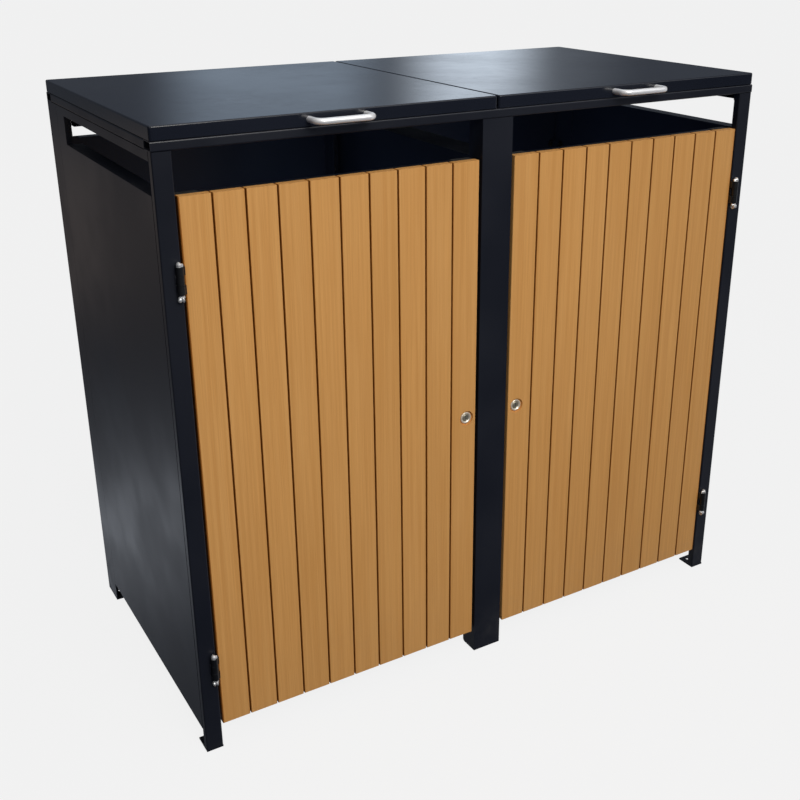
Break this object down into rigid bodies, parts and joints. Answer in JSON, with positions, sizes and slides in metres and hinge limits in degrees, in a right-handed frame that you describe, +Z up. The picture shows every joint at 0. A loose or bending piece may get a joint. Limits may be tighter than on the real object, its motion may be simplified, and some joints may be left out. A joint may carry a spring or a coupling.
{
  "type": "wheeled bin store",
  "caption": "Steel store for wheeled litter bins with slatted timber-look doors on hinges, lifting lids with bow handles, cam locks, side vents and anchor feet.",
  "frame": {"origin": "centre of the four corner anchor holes, at floor level", "axes": "+X to the right along the front, the doors face -Y, +Z up"},
  "size_m": [1.172, 0.6493, 1.08],
  "materials": {
    "frame_steel": "satin near-black powder coat on folded steel",
    "lid_steel": "satin near-black powder coat, smooth lid sheet",
    "slat": "honey wood-composite slat with fine lengthwise grain",
    "hinge_black": "black coated hinge",
    "zinc": "bright zinc plating",
    "handle_metal": "silver anodised rod",
    "lock_chrome": "chrome plated lock",
    "rubber": "black rubber buffer"
  },
  "bodies": {
    "frame": {"back_panel": "frame_steel", "back_top_rail": "frame_steel", "centre_back_post": "frame_steel", "centre_front_post": "frame_steel", "centre_partition": "frame_steel", "door_hinge_knuckles": "hinge_black", "front_top_rail": "frame_steel", "hinge_pins": "zinc", "left_back_post": "frame_steel", "left_front_post": "frame_steel", "left_side_panel": "frame_steel", "left_top_rail": "frame_steel", "lid_bumpers": "rubber", "lid_hinge_frame_leaves": "hinge_black", "panel_nuts": "zinc", "right_back_post": "frame_steel", "right_front_post": "frame_steel", "right_side_panel": "frame_steel", "right_top_rail": "frame_steel"},
    "left_door": {"left_door_frame": "frame_steel", "left_door_hinge_leaves": "hinge_black", "left_lock_housing": "lock_chrome", "left_slat_01": "slat", "left_slat_02": "slat", "left_slat_03": "slat", "left_slat_04": "slat", "left_slat_05": "slat", "left_slat_06": "slat", "left_slat_07": "slat", "left_slat_08": "slat", "left_slat_09": "slat", "left_slat_10": "slat", "left_slat_screws": "zinc"},
    "right_door": {"right_door_frame": "frame_steel", "right_door_hinge_leaves": "hinge_black", "right_lock_housing": "lock_chrome", "right_slat_01": "slat", "right_slat_02": "slat", "right_slat_03": "slat", "right_slat_04": "slat", "right_slat_05": "slat", "right_slat_06": "slat", "right_slat_07": "slat", "right_slat_08": "slat", "right_slat_09": "slat", "right_slat_10": "slat", "right_slat_screws": "zinc"},
    "left_lock": {"left_lock_cam": "zinc", "left_lock_plug": "lock_chrome"},
    "right_lock": {"right_lock_cam": "zinc", "right_lock_plug": "lock_chrome"},
    "left_lid": {"left_handle_screws": "zinc", "left_lid": "lid_steel", "left_lid_handle": "handle_metal", "left_lid_hinge_leaves": "hinge_black"},
    "right_lid": {"right_handle_screws": "zinc", "right_lid": "lid_steel", "right_lid_handle": "handle_metal", "right_lid_hinge_leaves": "hinge_black"}
  },
  "joints": [
    {"name": "left_door_hinge", "type": "hinge", "parent": "frame", "child": "left_door", "pos_m": [-0.561, -0.3075, 0.51275], "axis": [0, 0, -1], "range_deg": [0, 110]},
    {"name": "left_lid_hinge", "type": "hinge", "parent": "frame", "child": "left_lid", "pos_m": [-0.29375, 0.3075, 1.059], "axis": [-1, 0, 0], "range_deg": [0, 100]},
    {"name": "left_lock_turn", "type": "hinge", "parent": "left_door", "child": "left_lock", "pos_m": [-0.055, -0.29, 0.51275], "axis": [0, -1, 0], "range_deg": [0, 90]},
    {"name": "right_door_hinge", "type": "hinge", "parent": "frame", "child": "right_door", "pos_m": [0.561, -0.3075, 0.51275], "axis": [0, 0, 1], "range_deg": [0, 110]},
    {"name": "right_lid_hinge", "type": "hinge", "parent": "frame", "child": "right_lid", "pos_m": [0.29375, 0.3075, 1.059], "axis": [-1, 0, 0], "range_deg": [0, 100]},
    {"name": "right_lock_turn", "type": "hinge", "parent": "right_door", "child": "right_lock", "pos_m": [0.055, -0.29, 0.51275], "axis": [0, 1, 0], "range_deg": [0, 90]}
  ]
}
